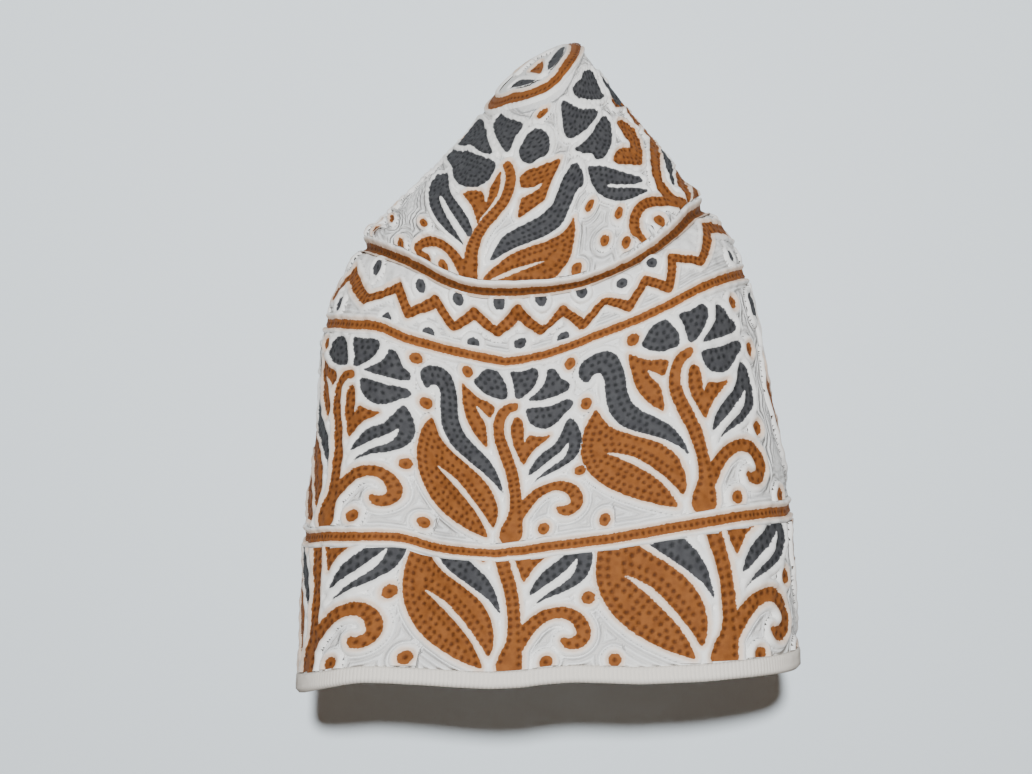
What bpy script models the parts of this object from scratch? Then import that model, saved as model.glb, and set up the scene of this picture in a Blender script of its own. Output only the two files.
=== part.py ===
"""Embroidered cotton cap with a tall side wall, a pointed crown and a folded hem, lying on its back.

Metres, +Z up. +X runs across the cap, +Y from the open rim to the point of the crown. The cap rests on its
back at Z = 0, and its front looks up. The origin is under the middle of the cap's box.
"""

import bpy
import numpy as np

MM = 0.001

# The sections below are charted for the smaller rim, and graded up to this cap's own
RIM_ROUND = 535 * MM
CHARTED_RIM_ROUND = 511 * MM
GRADED_MM = MM * RIM_ROUND / CHARTED_RIM_ROUND

# Cloth
WALL_THICKNESS = 2.4 * MM
HEM_THICKNESS = 3.2 * MM
HEM_EDGE_ROUNDING = 1.0 * MM
PIECE_GAP = 0.3 * MM

# Places along the cloth from the rim, 0, over the seam, 1, and the edge of the medallion, 2, to its middle, 3
HEM_SHARE = 0.042
SEAM_SHARE = 1.0
MEDALLION_SHARE = 2.0
CENTRE_SHARE = 3.0

# Lengths of cloth from rim to seam and from seam to medallion, which turn a gap into a share
WALL_HEIGHT = 140 * MM
CROWN_LENGTH = 66 * MM

# Mesh
COLUMNS = 64
HEM_ROWS = 3
WALL_ROWS = 20
CROWN_ROWS = 10
SEAM_ROWS = (0.003, 0.009, 0.018, 0.032)
MEDALLION_ROWS = 4
POLE_SHARE = 2.84
LOOP_SAMPLES = 720

# Sections of the cap across +Y, from the rim up, in charted millimetres. A section is a rounded box:
# half_width each side of x_mid, from z_back to z_front, with corners that get squarer as corner grows. Below
# Z = 0 it is pressed flat. y_left, y_front, y_right and y_back are where it meets those sides, because the cap
# sags and no section is level. bend is how late it leaves the middle's height for the sides' on its way round,
# and low moves its lowest place off the middle, as a share of half_width. x_lean moves its front to +X and its
# back to -X.
SECTION_COLUMNS = ("share", "x_mid", "half_width", "x_lean", "y_left", "y_front", "y_right", "y_back",
                   "bend", "low", "z_back", "z_front", "corner")
SECTIONS = (
    (0.000, 0.0, 78.0, 0.0, -101.0, -91.0, -92.6, -97.0, 6.0, 0.00, -4.0, 135.0, 3.6),
    (0.170, 0.0, 77.5, 0.0, -76.8, -72.4, -68.6, -73.0, 2.5, 0.10, -4.0, 131.0, 3.5),
    (0.350, 0.0, 77.0, 0.0, -51.4, -54.2, -44.0, -49.0, 1.1, 0.22, -4.0, 125.0, 3.3),
    (0.600, -1.1, 72.8, 0.0, -15.5, -26.2, -4.5, -12.0, 1.3, 0.18, -4.0, 115.0, 2.9),
    (0.835, -3.5, 68.4, 0.0, 16.4, 1.8, 31.5, 22.0, 1.2, 0.15, -4.0, 106.0, 2.7),
    (0.920, -3.5, 64.0, 0.0, 28.0, 12.4, 42.0, 33.0, 1.4, 0.12, -4.0, 104.5, 2.6),
    (1.000, -4.3, 57.0, 0.0, 39.0, 21.9, 52.2, 43.5, 1.9, 0.10, -3.0, 102.0, 2.5),
    (1.330, -4.2, 43.6, -3.0, 56.5, 43.0, 73.0, 62.0, 1.9, 0.08, 9.0, 96.0, 2.4),
    (1.660, -4.1, 29.6, -1.0, 71.5, 65.4, 90.0, 82.0, 1.9, 0.04, 21.0, 84.0, 2.2),
    (2.000, -3.8, 15.3, 3.2, 87.5, 89.7, 109.0, 101.8, 1.9, 0.00, 33.0, 67.0, 2.0),
)

# The medallion's middle stands this far out of its edge
MEDALLION_RISE = 4.0 * MM

# Dents, ridges and folds in the cloth, in charted millimetres out of the surface. turn is the share of the
# way round from the middle of the front, + towards +X. Each fades over its two reaches.
DENT_COLUMNS = ("share", "turn", "out", "share_reach", "turn_reach")
DENTS = (
    (0.45, -0.082, -4.5, 0.33, 0.022),
    (0.20, -0.030, 3.5, 0.30, 0.028),
    (0.12, 0.060, -2.0, 0.16, 0.040),
    (0.70, 0.120, 2.5, 0.20, 0.050),
    (0.93, -0.015, -5.0, 0.045, 0.090),
    (0.96, -0.150, -2.0, 0.040, 0.030),
    (1.22, 0.075, -3.5, 0.130, 0.035),
    (1.40, -0.060, 2.0, 0.250, 0.060),
    (0.50, 0.270, -3.0, 0.300, 0.030),
    (0.50, -0.280, -3.0, 0.300, 0.030),
)


def table_rows(columns, rows):
    """A table as one array for each named column."""
    values = np.array(rows, float)
    return {name: values[:, n] for n, name in enumerate(columns)}


def smooth_between(places, values, at):
    """Values at the places asked for, on a smooth line through the given ones."""
    slopes = np.gradient(values, places)
    n = np.clip(np.searchsorted(places, at, side="right") - 1, 0, len(places) - 2)
    step = places[n + 1] - places[n]
    u = (at - places[n]) / step
    return (
        values[n] * (1 + 2 * u) * (1 - u) ** 2
        + slopes[n] * step * u * (1 - u) ** 2
        + values[n + 1] * u * u * (3 - 2 * u)
        + slopes[n + 1] * step * u * u * (u - 1)
    )


def section_loop(share):
    """Points round one section, evenly spaced along it, from the middle of the front towards +X."""
    table = table_rows(SECTION_COLUMNS, SECTIONS)
    size = {k: smooth_between(table["share"], table[k], share) for k in SECTION_COLUMNS}
    turn = np.linspace(0, 2 * np.pi, LOOP_SAMPLES + 1)
    power = 2 / size["corner"]
    across = np.sign(np.sin(turn)) * np.abs(np.sin(turn)) ** power
    up = np.sign(np.cos(turn)) * np.abs(np.cos(turn)) ** power
    x = size["x_mid"] + size["half_width"] * across + size["x_lean"] * up
    z = (size["z_front"] + size["z_back"]) / 2 + (size["z_front"] - size["z_back"]) / 2 * up
    level = (
        (size["y_left"] + size["y_right"] + size["y_front"] + size["y_back"]) / 4
        + (size["y_front"] - size["y_back"]) / 2 * np.cos(turn)
        + (size["y_right"] - size["y_left"]) / 2 * np.sin(turn)
    )
    place = across + size["low"] * (1 - across**2)
    middle = np.where(up > 0, size["y_front"], size["y_back"])
    side = np.where(place > 0, size["y_right"], size["y_left"])
    sagged = middle + (side - middle) * np.abs(place) ** size["bend"]
    firm = np.clip(share - SEAM_SHARE, 0, 1)
    y = sagged * (1 - firm) + level * firm
    loop = np.stack([x, y, np.maximum(z, 0)], 1)
    steps = np.linalg.norm(np.diff(loop, axis=0), axis=1)
    along = np.concatenate([[0], np.cumsum(steps)])
    at = np.arange(COLUMNS) / COLUMNS * along[-1]
    return np.stack([np.interp(at, along, loop[:, n]) for n in range(3)], 1) * GRADED_MM


def medallion_loop(edge, share):
    """The medallion's own loop, between its edge and its middle, on a low dome."""
    middle = edge.mean(0)
    out = np.cross(edge[0] - middle, edge[COLUMNS // 4] - middle)
    out /= np.linalg.norm(out)
    size = CENTRE_SHARE - share
    return middle + (edge - middle) * size + out * MEDALLION_RISE * (1 - size * size)


def cloth_grid(shares):
    """The outer face of the cloth as rows of points, one row for each share, before its dents."""
    edge = section_loop(MEDALLION_SHARE)
    return np.array(
        [section_loop(s) if s <= MEDALLION_SHARE else medallion_loop(edge, s) for s in shares]
    )


def dented(grid, shares):
    """The grid with its dents and folds pushed in or out along the cloth's normal."""
    along = np.gradient(grid, axis=0)
    around = np.roll(grid, -1, axis=1) - np.roll(grid, 1, axis=1)
    normal = np.cross(around, along)
    normal /= np.linalg.norm(normal, axis=2, keepdims=True)
    turns = (np.arange(COLUMNS) / COLUMNS + 0.5) % 1 - 0.5
    out = np.zeros(grid.shape[:2])
    dents = table_rows(DENT_COLUMNS, DENTS)
    for n in range(len(DENTS)):
        fade_along = (shares - dents["share"][n]) / dents["share_reach"][n]
        fade_round = (turns - dents["turn"][n]) / dents["turn_reach"][n]
        out += dents["out"][n] * GRADED_MM * np.outer(np.exp(-fade_along**2), np.exp(-fade_round**2))
    return grid + normal * out[:, :, None]


def centred(grid):
    """The grid with the middle of its box over the origin."""
    middle = (grid.min((0, 1)) + grid.max((0, 1))) / 2
    return grid - middle * (1, 1, 0)


def sheet_object(name, rows, closed_top=None):
    """An open tube of cloth through the rows, with a point over its last row if closed_top is given."""
    count = len(rows)
    points = [tuple(p) for row in rows for p in row]
    faces = []
    for r in range(count - 1):
        for c in range(COLUMNS):
            d = (c + 1) % COLUMNS
            low, high = r * COLUMNS, (r + 1) * COLUMNS
            faces.append((low + c, low + d, high + d, high + c))
    if closed_top is not None:
        points.append(tuple(closed_top))
        last = (count - 1) * COLUMNS
        faces += [(last + c, last + (c + 1) % COLUMNS, count * COLUMNS) for c in range(COLUMNS)]
    mesh = bpy.data.meshes.new(name)
    mesh.from_pydata(points, [], faces)
    mesh.update()
    return bpy.data.objects.new(name, mesh)


def thicken(obj, thickness):
    """Gives the open sheet its thickness, inwards from its outer face."""
    solidify = obj.modifiers.new("cloth thickness", "SOLIDIFY")
    solidify.thickness = thickness
    solidify.offset = -1


def cloth_material(name, colour, roughness):
    """Cotton cloth of one colour."""
    material = bpy.data.materials.new(name)
    material.use_nodes = True
    shader = material.node_tree.nodes["Principled BSDF"]
    shader.inputs["Base Color"].default_value = (*colour, 1)
    shader.inputs["Roughness"].default_value = roughness
    shader.inputs["Metallic"].default_value = 0
    material.diffuse_color = (*colour, 1)
    return material


def finish_piece(obj, collection, material):
    """Links the piece, gives it its material and shades it smooth."""
    collection.objects.link(obj)
    obj.data.materials.append(material)
    obj.data.shade_smooth()


def build_cap():
    """Makes the three cloth pieces from one continuous surface, parted at the hem and at the seam."""
    cap = bpy.data.collections.new("kumma_cap")
    bpy.context.scene.collection.children.link(cap)
    wall_gap = PIECE_GAP / WALL_HEIGHT / 2
    crown_gap = PIECE_GAP / CROWN_LENGTH / 2

    hem_shares = np.linspace(0, HEM_SHARE - wall_gap, HEM_ROWS)
    seam_rows = np.array(SEAM_ROWS)
    wall_shares = np.concatenate([
        np.linspace(HEM_SHARE + wall_gap, SEAM_SHARE - 2 * seam_rows[-1], WALL_ROWS),
        SEAM_SHARE - seam_rows[::-1],
        [SEAM_SHARE - wall_gap],
    ])
    crown_shares = np.concatenate([
        [SEAM_SHARE + crown_gap],
        SEAM_SHARE + 2 * seam_rows,
        np.linspace(SEAM_SHARE + 4 * seam_rows[-1], MEDALLION_SHARE, CROWN_ROWS),
        np.linspace(MEDALLION_SHARE, POLE_SHARE, MEDALLION_ROWS)[1:],
    ])
    shares = np.concatenate([hem_shares, wall_shares, crown_shares])
    grid = centred(dented(cloth_grid(shares), shares))
    hem_rows, wall_rows, crown_rows = np.split(grid, [len(hem_shares), len(hem_shares) + len(wall_shares)])

    hem = sheet_object("rim_hem", hem_rows)
    thicken(hem, HEM_THICKNESS)
    rounding = hem.modifiers.new("rounded fold", "BEVEL")
    rounding.width = HEM_EDGE_ROUNDING
    rounding.segments = 1
    rounding.limit_method = "ANGLE"
    rounding.angle_limit = np.radians(60)
    wall = sheet_object("side_wall", wall_rows)
    thicken(wall, WALL_THICKNESS)
    crown = sheet_object("crown", crown_rows, crown_rows[-1].mean(0))
    thicken(crown, WALL_THICKNESS)

    finish_piece(hem, cap, cloth_material("plain hem cotton", (0.72, 0.70, 0.67), 0.85))
    finish_piece(wall, cap, cloth_material("quilted wall cotton", (0.70, 0.69, 0.67), 0.85))
    finish_piece(crown, cap, cloth_material("quilted crown cotton", (0.68, 0.67, 0.65), 0.85))


for old in list(bpy.data.objects):
    bpy.data.objects.remove(old, do_unlink=True)
build_cap()
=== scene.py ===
"""A white quilted cotton kumma cap with orange-brown and blue-grey eyelet embroidery, lying on its back."""

import math

import bpy
import numpy as np
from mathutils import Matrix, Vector


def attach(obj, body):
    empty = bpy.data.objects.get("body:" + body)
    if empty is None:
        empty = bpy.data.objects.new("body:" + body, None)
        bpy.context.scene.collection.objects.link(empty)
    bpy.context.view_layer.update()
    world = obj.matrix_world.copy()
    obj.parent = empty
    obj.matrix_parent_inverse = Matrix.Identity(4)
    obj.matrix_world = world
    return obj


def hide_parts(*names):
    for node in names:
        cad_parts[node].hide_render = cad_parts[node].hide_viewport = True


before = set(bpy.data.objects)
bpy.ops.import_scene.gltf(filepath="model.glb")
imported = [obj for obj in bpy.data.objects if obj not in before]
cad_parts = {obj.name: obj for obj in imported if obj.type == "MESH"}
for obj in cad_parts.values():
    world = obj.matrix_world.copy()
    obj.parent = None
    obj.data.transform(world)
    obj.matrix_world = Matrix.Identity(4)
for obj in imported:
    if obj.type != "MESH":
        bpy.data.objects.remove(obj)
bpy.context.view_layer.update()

# The side wall: a tall band of doubled white cotton, quilted right through, closed to a ring and sewn to the crown
# above it. It is laid on the form of the whole cap, which the crown, the hem and the stitching are laid on too.
#
# That form is one surface from the open rim, over the seam, to the middle of the medallion. Its places are named by
# share, 0 at the rim, 1 at the seam, 2 at the medallion's edge and 3 at its middle, and by turn, the part of the way
# round from the middle of the front, + towards +X.
MM = 0.001
RIM_ROUND = 535 * MM
CHARTED_RIM_ROUND = 511 * MM
GRADED_MM = MM * RIM_ROUND / CHARTED_RIM_ROUND
SEAM_SHARE = 1.0
MEDALLION_SHARE = 2.0
CENTRE_SHARE = 3.0
POLE_SHARE = 2.96
MEDALLION_RISE = 4.0 * MM
SECTION_COLUMNS = ("share", "x_mid", "half_width", "x_lean", "y_left", "y_front", "y_right", "y_back",
                   "bend", "low", "z_back", "z_front", "corner")
SECTIONS = (
    (0.000, 0.0, 78.0, 0.0, -101.0, -91.0, -92.6, -97.0, 6.0, 0.00, -4.0, 135.0, 3.6),
    (0.170, 0.0, 77.5, 0.0, -76.8, -72.4, -68.6, -73.0, 2.5, 0.10, -4.0, 131.0, 3.5),
    (0.350, 0.0, 77.0, 0.0, -51.4, -54.2, -44.0, -49.0, 1.1, 0.22, -4.0, 125.0, 3.3),
    (0.600, -1.1, 72.8, 0.0, -15.5, -26.2, -4.5, -12.0, 1.3, 0.18, -4.0, 115.0, 2.9),
    (0.835, -3.5, 68.4, 0.0, 16.4, 1.8, 31.5, 22.0, 1.2, 0.15, -4.0, 106.0, 2.7),
    (0.920, -3.5, 64.0, 0.0, 28.0, 12.4, 42.0, 33.0, 1.4, 0.12, -4.0, 104.5, 2.6),
    (1.000, -4.3, 57.0, 0.0, 39.0, 21.9, 52.2, 43.5, 1.9, 0.10, -3.0, 102.0, 2.5),
    (1.330, -4.2, 43.6, -3.0, 56.5, 43.0, 73.0, 62.0, 1.9, 0.08, 9.0, 96.0, 2.4),
    (1.660, -4.1, 29.6, -1.0, 71.5, 65.4, 90.0, 82.0, 1.9, 0.04, 21.0, 84.0, 2.2),
    (2.000, -3.8, 15.3, 3.2, 87.5, 89.7, 109.0, 101.8, 1.9, 0.00, 33.0, 67.0, 2.0),
)
DENT_COLUMNS = ("share", "turn", "out", "share_reach", "turn_reach")
DENTS = (
    (0.45, -0.082, -4.5, 0.33, 0.022),
    (0.20, -0.030, 3.5, 0.30, 0.028),
    (0.12, 0.060, -2.0, 0.16, 0.040),
    (0.70, 0.120, 2.5, 0.20, 0.050),
    (0.93, -0.015, -5.0, 0.045, 0.090),
    (0.96, -0.150, -2.0, 0.040, 0.030),
    (1.22, 0.075, -3.5, 0.130, 0.035),
    (1.40, -0.060, 2.0, 0.250, 0.060),
    (0.50, 0.270, -3.0, 0.300, 0.030),
    (0.50, -0.280, -3.0, 0.300, 0.030),
)
LATTICE_STEP = 0.004
LATTICE_COLUMNS = 1024
LOOP_SAMPLES = 4096


def table_rows(columns, rows):
    """A table as one array for each named column."""
    values = np.array(rows, float)
    return {name: values[:, n] for n, name in enumerate(columns)}


def smooth_between(places, values, at):
    """Values at the places asked for, on a smooth line through the given ones."""
    slopes = np.gradient(values, places)
    n = np.clip(np.searchsorted(places, at, side="right") - 1, 0, len(places) - 2)
    step = places[n + 1] - places[n]
    u = (at - places[n]) / step
    return (
        values[n] * (1 + 2 * u) * (1 - u) ** 2
        + slopes[n] * step * u * (1 - u) ** 2
        + values[n + 1] * u * u * (3 - 2 * u)
        + slopes[n + 1] * step * u * u * (u - 1)
    )


def section_loop(share):
    """Points round one section of the cap, evenly spaced, from the middle of the front towards +X."""
    table = table_rows(SECTION_COLUMNS, SECTIONS)
    size = {k: smooth_between(table["share"], table[k], share) for k in SECTION_COLUMNS}
    turn = np.linspace(0, 2 * np.pi, LOOP_SAMPLES + 1)
    power = 2 / size["corner"]
    across = np.sign(np.sin(turn)) * np.abs(np.sin(turn)) ** power
    up = np.sign(np.cos(turn)) * np.abs(np.cos(turn)) ** power
    x = size["x_mid"] + size["half_width"] * across + size["x_lean"] * up
    z = (size["z_front"] + size["z_back"]) / 2 + (size["z_front"] - size["z_back"]) / 2 * up
    level = (
        (size["y_left"] + size["y_right"] + size["y_front"] + size["y_back"]) / 4
        + (size["y_front"] - size["y_back"]) / 2 * np.cos(turn)
        + (size["y_right"] - size["y_left"]) / 2 * np.sin(turn)
    )
    place = across + size["low"] * (1 - across**2)
    middle = np.where(up > 0, size["y_front"], size["y_back"])
    side = np.where(place > 0, size["y_right"], size["y_left"])
    sagged = middle + (side - middle) * np.abs(place) ** size["bend"]
    firm = np.clip(share - SEAM_SHARE, 0, 1)
    y = sagged * (1 - firm) + level * firm
    loop = np.stack([x, y, np.maximum(z, 0)], 1)
    steps = np.linalg.norm(np.diff(loop, axis=0), axis=1)
    along = np.concatenate([[0], np.cumsum(steps)])
    at = np.arange(LATTICE_COLUMNS) / LATTICE_COLUMNS * along[-1]
    return np.stack([np.interp(at, along, loop[:, n]) for n in range(3)], 1) * GRADED_MM


def medallion_loop(edge, share):
    """The medallion's own loop, between its edge and its middle, on a low dome."""
    middle = edge.mean(0)
    out = np.cross(edge[0] - middle, edge[LATTICE_COLUMNS // 4] - middle)
    out /= np.linalg.norm(out)
    size = CENTRE_SHARE - share
    return middle + (edge - middle) * size + out * MEDALLION_RISE * (1 - size * size)


def outward(grid):
    """The unit normal at each point of the cloth."""
    along = np.gradient(grid, axis=0)
    around = np.roll(grid, -1, axis=1) - np.roll(grid, 1, axis=1)
    normal = np.cross(around, along)
    return normal / np.linalg.norm(normal, axis=2, keepdims=True)


lattice_shares = np.arange(0, POLE_SHARE + LATTICE_STEP / 2, LATTICE_STEP)
medallion_edge = section_loop(MEDALLION_SHARE)
lattice = np.array([
    section_loop(s) if s <= MEDALLION_SHARE else medallion_loop(medallion_edge, s) for s in lattice_shares
])
lattice_turns = (np.arange(LATTICE_COLUMNS) / LATTICE_COLUMNS + 0.5) % 1 - 0.5
dent_table = table_rows(DENT_COLUMNS, DENTS)
dent_depth = np.zeros(lattice.shape[:2])
for n in range(len(DENTS)):
    fade_along = (lattice_shares - dent_table["share"][n]) / dent_table["share_reach"][n]
    fade_round = (lattice_turns - dent_table["turn"][n]) / dent_table["turn_reach"][n]
    dent_depth += dent_table["out"][n] * GRADED_MM * np.outer(np.exp(-fade_along**2), np.exp(-fade_round**2))
lattice = lattice + outward(lattice) * dent_depth[:, :, None]
cap_shift = (lattice.min((0, 1)) + lattice.max((0, 1))) / 2 * (1, 1, 0)
lattice = lattice - cap_shift
lattice_normals = outward(lattice)
lattice_round = np.linalg.norm(np.roll(lattice, -1, axis=1) - lattice, axis=2).sum(1) / MM
lattice_up = np.append(0, np.cumsum(np.linalg.norm(np.diff(lattice, axis=0), axis=2).mean(1))) / MM


# The camera looks straight down on the cap's front. The charts below were read in its view, in the photo's
# pixels, and each place in them is laid on the cloth that shows there.
PHOTO_WIDTH, PHOTO_HEIGHT = 1032, 774
CAMERA_CHARTED = (-9.8, -6.8, 600.0)
CAMERA_PIXELS = 1658
camera_place = np.array(CAMERA_CHARTED) * GRADED_MM - cap_shift
lattice_away = camera_place[2] - lattice[..., 2]
lattice_seen = np.stack([
    PHOTO_WIDTH / 2 + CAMERA_PIXELS * (lattice[..., 0] - camera_place[0]) / lattice_away,
    PHOTO_HEIGHT / 2 - CAMERA_PIXELS * (lattice[..., 1] - camera_place[1]) / lattice_away,
], -1)
shown_row, shown_column = np.nonzero((lattice_normals * (camera_place - lattice)).sum(2) > 0)
shown_x, shown_y = lattice_seen[shown_row, shown_column].astype(np.float32).T
BEYOND_RIM_STEPS = 12


def true_place(pixels):
    """The lattice's share and turn at each of the photo's pixels."""
    found = []
    for pixel in np.array(pixels, float).reshape(-1, 2):
        near = np.argmin((shown_x - pixel[0]) ** 2 + (shown_y - pixel[1]) ** 2)
        r, c = shown_row[near], shown_column[near]
        low, high = max(r - 1, 0), min(r + 1, len(lattice_shares) - 1)
        left, right = (c - 1) % LATTICE_COLUMNS, (c + 1) % LATTICE_COLUMNS
        steps = np.stack([(lattice_seen[high, c] - lattice_seen[low, c]) / (high - low),
                          (lattice_seen[r, right] - lattice_seen[r, left]) / 2], 1)
        part = np.linalg.lstsq(steps, pixel - lattice_seen[r, c], rcond=None)[0]
        part = np.clip(part, (-BEYOND_RIM_STEPS if r == 0 else -1, -1), 1)
        found.append((lattice_shares[r] + part[0] * LATTICE_STEP, ((c + part[1]) / LATTICE_COLUMNS + 0.5) % 1 - 0.5))
    return np.array(found)


# The sewn lines wander a little on the cloth. Where they show, their middles were read in the photo's pixels, and
# a share is shifted with them: the hem's edge is 0, the lower line 0.35, the upper line 0.835, the seam 1 and the
# medallion's ring 2. Round the back they run level.
RIM_SHARE, HEM_SHARE, LOWER_LINE_SHARE, UPPER_LINE_SHARE = 0.0, 0.042, 0.35, 0.835
RIM_SEEN = ((305, 691), (327, 687), (357, 682.5), (390, 683), (423, 685), (457, 687.7), (490, 689.5), (523, 688),
            (540, 685), (573, 682), (607, 682.7), (640, 683.7), (673, 682.3), (707, 681), (740, 678), (773, 674.5))
LINES_SEEN = {
    LOWER_LINE_SHARE: ((305, 538.3), (323, 535.7), (357, 535.7), (390, 535.7), (407, 537.3), (420, 542), (430, 545.5),
                       (450, 549), (473, 551.3), (497, 552), (523, 549.7), (543, 546.5), (573, 542.7), (607, 538.7),
                       (640, 533.3), (673, 527.3), (707, 521.7), (740, 515.7), (773, 511.7), (788, 511)),
    UPPER_LINE_SHARE: ((325, 323), (350, 323.5), (368, 323.5), (383, 327), (400, 335.5), (425, 343), (450, 349.6),
                       (475, 354.8), (500, 359.5), (525, 358), (550, 352), (575, 343), (600, 332.7), (625, 323.5),
                       (650, 312.7), (675, 300.5), (700, 287), (725, 277.5), (747, 272.7)),
    SEAM_SHARE: ((360, 245), (380, 250), (403, 258.3), (423, 268.3), (443, 280), (463, 288), (480, 291.3), (500, 292),
                 (530, 290.7), (563, 287.3), (583, 283.3), (603, 275), (637, 258.3), (660, 243.3), (680, 226.7),
                 (693, 213), (703, 208)),
    MEDALLION_SHARE: ((490, 101), (510, 96.5), (530, 92.7), (547, 85), (560, 73.5), (570, 58.5), (577, 45)),
}
LINE_FADES_BY = 0.12
LINE_SMOOTHING = 5


def line_wander(share, pixels):
    """How far a line lies off its own share, at each column of the lattice."""
    found = true_place(pixels)
    found = found[np.argsort(found[:, 1])]
    off = found[:, 0] - share
    first, last = found[0, 1] - LINE_FADES_BY, found[-1, 1] + LINE_FADES_BY
    at = (lattice_turns + 0.5) % 1 - 0.5
    wander = np.interp(at, [first, *found[:, 1], last], [0, *off, 0])
    window = np.exp(-(np.arange(-3 * LINE_SMOOTHING, 3 * LINE_SMOOTHING + 1) / LINE_SMOOTHING) ** 2)
    window /= window.sum()
    return sum(np.roll(wander, n - 3 * LINE_SMOOTHING) * w for n, w in enumerate(window))


level_shares = np.array([RIM_SHARE, HEM_SHARE, *LINES_SEEN, CENTRE_SHARE])
rim_wander = line_wander(RIM_SHARE, RIM_SEEN)
wander_columns = np.array([
    rim_wander, rim_wander, *[line_wander(s, p) for s, p in LINES_SEEN.items()], np.zeros(LATTICE_COLUMNS)
])


def wandered(share, turn):
    """The lattice's share for a share that is counted from the lines as they are sewn."""
    share, turn = np.asarray(share, float), np.asarray(turn, float)
    columns = np.arange(LATTICE_COLUMNS + 1) / LATTICE_COLUMNS
    off = [np.interp(turn % 1, columns, np.append(w, w[0])) for w in wander_columns]
    n = np.clip(np.searchsorted(level_shares, share, side="right") - 1, 0, len(level_shares) - 2)
    part = (share - level_shares[n]) / (level_shares[n + 1] - level_shares[n])
    off = np.array(off)
    low, high = (np.take_along_axis(off, k[None], 0)[0] for k in (n, n + 1))
    return share + low * (1 - part) + high * part


def counted(lattice_share, turn):
    """The share, counted from the sewn lines, that lies on a share of the lattice."""
    share = lattice_share.copy()
    for _ in range(6):
        share += lattice_share - wandered(share, turn)
    return share


def cloth_place(pixels):
    """Share, counted from the sewn lines, and turn at each of the photo's pixels."""
    found = true_place(pixels)
    return counted(found[:, 0], found[:, 1]), found[:, 1]


# The seam pulls the cloth in along itself, and the crown swells out over it: each groove has its share, how far it
# stands out in millimetres and its reach in shares. Between the sewn figures the cloth puckers softly: each row of
# puckers has its waves round and up, its phase and its millimetres.
GROOVES = ((1.000, -1.9, 0.015), (1.050, 1.7, 0.032), (0.965, 0.5, 0.02), (0.835, -0.5, 0.02), (0.35, -0.4, 0.02))
PUCKERS = ((41, 9.0, 0.3, 0.16), (67, -13.0, 1.9, 0.14), (97, 21.0, 4.0, 0.10))
PUCKER_FADE_AT_MEDALLION, PUCKER_FADE_AT_RIM = 0.2, 0.1
ABOVE_FLOOR_MM = 0.02


def relief(share, turn):
    """Millimetres that the grooves and puckers stand out of the smooth cloth."""
    out = sum(depth * np.exp(-((share - at) / reach) ** 2) for at, depth, reach in GROOVES)
    ring = sum(d * np.sin(2 * np.pi * (r * turn + u * share) + p) for r, u, p, d in PUCKERS)
    fade_up = np.clip((MEDALLION_SHARE - share) / PUCKER_FADE_AT_MEDALLION, 0, 1)
    return out + ring * fade_up * np.clip(share / PUCKER_FADE_AT_RIM, 0, 1)


def on_cloth(share, turn, out):
    """Points at the given places of the cloth, out millimetres off the solid's outer face."""
    out = out + relief(share, turn)
    r = np.minimum(wandered(share, turn) / LATTICE_STEP, len(lattice_shares) - 1.001)
    c = (turn % 1) * LATTICE_COLUMNS
    r0, c0 = np.maximum(np.floor(r).astype(int), 0), np.floor(c).astype(int) % LATTICE_COLUMNS
    c1 = (c0 + 1) % LATTICE_COLUMNS
    u, v = (r - r0)[..., None], (c - np.floor(c))[..., None]
    blend = [(r0, c0, (1 - u) * (1 - v)), (r0, c1, (1 - u) * v), (r0 + 1, c0, u * (1 - v)), (r0 + 1, c1, u * v)]
    point = sum(lattice[a, b] * w for a, b, w in blend)
    normal = sum(lattice_normals[a, b] * w for a, b, w in blend)
    normal /= np.linalg.norm(normal, axis=-1, keepdims=True)
    point = point + normal * np.asarray(out)[..., None] * MM
    point[..., 2] = np.maximum(point[..., 2], ABOVE_FLOOR_MM * MM)
    return point


def round_mm(share):
    """How many millimetres the cap measures round at a share."""
    return np.interp(share, lattice_shares, lattice_round)


# The ground is plain white cotton cloth, quilted: matt, with a fine weave and faint ripples where rows of stitches
# echo the figures. Colours are sRGB hex. A thread of the cloth is about 0.35 mm wide, too fine to show, so the weave
# is drawn at 0.45 mm. The rows of echo quilting lie 1.8 mm apart, which shows as it is.
COTTON_IOR = 1.45
COTTON_ROUGHNESS = 0.92
COTTON_SPECULAR = 0.15
# The second ground colour is painted shade, laid over the cloth in soft patches about 14 mm across.
# The third ground colour is painted shade, in the valleys of the echo ripples.
GROUND_WHITE, GROUND_PATCH_SHADE, GROUND_FURROW_SHADE = "E9E5E0", "E2DEDA", "C6BFB8"
WEAVE_MM, SLUB_MM, SHADE_PATCH_MM = 0.45, 2.2, 14
ECHO_MM = 1.8
SMOOTH = {"interpolation_type": "SMOOTHSTEP"}


def linear(sheet_colour):
    """An sRGB hex colour as linear red, green, blue and alpha."""
    parts = [int(sheet_colour[n:n + 2], 16) / 255 for n in (0, 2, 4)]
    return [p / 12.92 if p <= 0.04045 else ((p + 0.055) / 1.055) ** 2.4 for p in parts] + [1]


def node(tree, kind, settings, *in_order):
    """Adds a node and gives its outputs. A setting is its own or, by name or number, a socket's, and more sockets can
    follow in their order. What comes from another node is linked."""
    made = tree.nodes.new(kind)
    for name, value in [*settings.items(), *enumerate(in_order)]:
        if isinstance(name, str) and hasattr(made, name):
            setattr(made, name, value)
        elif isinstance(value, bpy.types.NodeSocket):
            tree.links.new(value, made.inputs[name])
        else:
            made.inputs[name].default_value = value
    return made.outputs


def new_material(name, roughness):
    """An empty cotton material with one shader, and its tree."""
    material = bpy.data.materials.new(name)
    material.use_nodes = True
    shader = material.node_tree.nodes["Principled BSDF"]
    shader.inputs["Roughness"].default_value = roughness
    shader.inputs["IOR"].default_value = COTTON_IOR
    shader.inputs["Specular IOR Level"].default_value = COTTON_SPECULAR
    return material, material.node_tree, shader


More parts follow.
